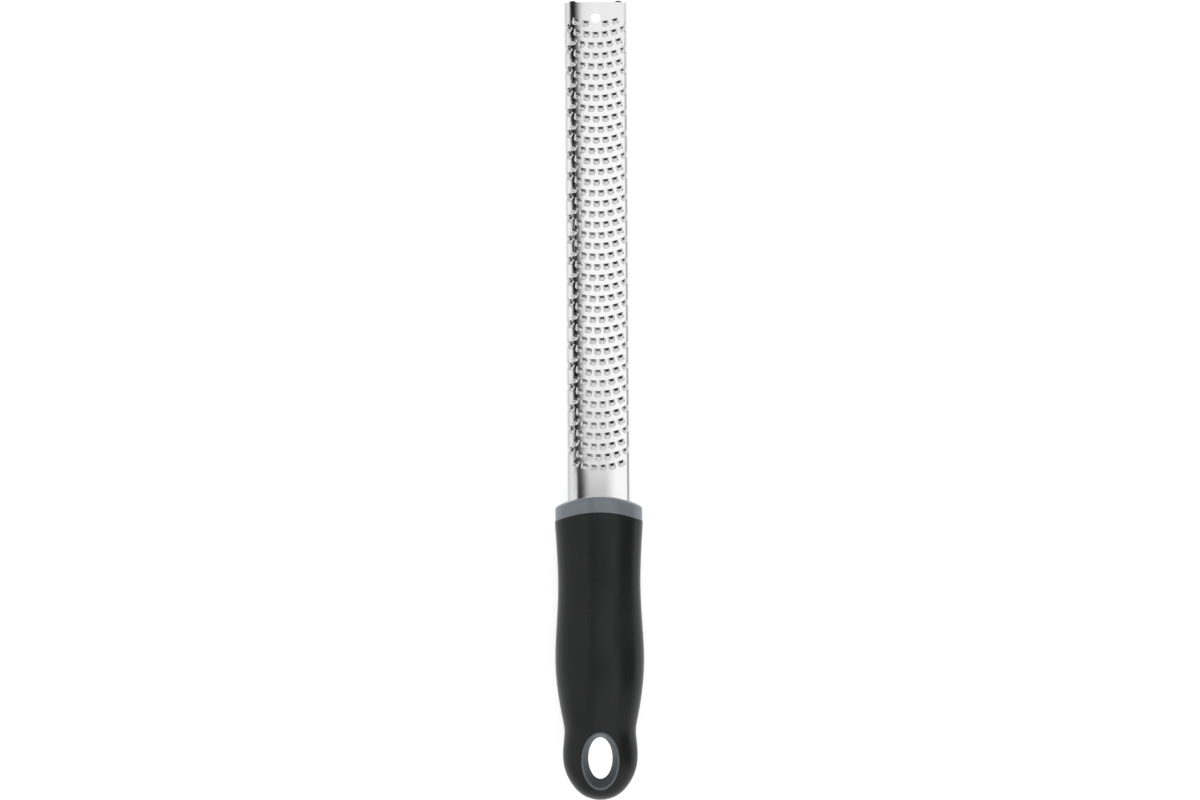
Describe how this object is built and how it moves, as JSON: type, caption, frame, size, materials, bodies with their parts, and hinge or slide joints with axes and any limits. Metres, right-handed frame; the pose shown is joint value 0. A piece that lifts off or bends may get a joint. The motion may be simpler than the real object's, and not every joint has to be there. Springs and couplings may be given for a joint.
{
  "type": "rasp zester",
  "caption": "Handheld rasp zester: a long domed sheet blade with raised teeth and folded edges, set in a soft-grip handle with a collar and a lined hanging hole.",
  "frame": {"origin": "middle of the overall box in plan, on the surface that the handle's levelled underside lies on", "axes": "+Y along the blade to its tip, +Z out of the grating face, +X to the right of the grating face seen with the tip up"},
  "size_m": [0.0362, 0.325, 0.0233],
  "materials": {
    "steel": "bright stainless sheet, satin",
    "foot_rubber": "matte black rubber",
    "grey_plastic": "blue-grey hard plastic, satin",
    "core_plastic": "dark hard plastic, unseen",
    "grip_rubber": "soft-touch near-black, matte"
  },
  "bodies": {
    "root": {"blade": "steel", "tip_foot_left": "foot_rubber", "tip_foot_right": "foot_rubber", "collar": "grey_plastic", "handle_core": "core_plastic", "grip": "grip_rubber", "hanging_ring": "grey_plastic"}
  },
  "joints": []
}
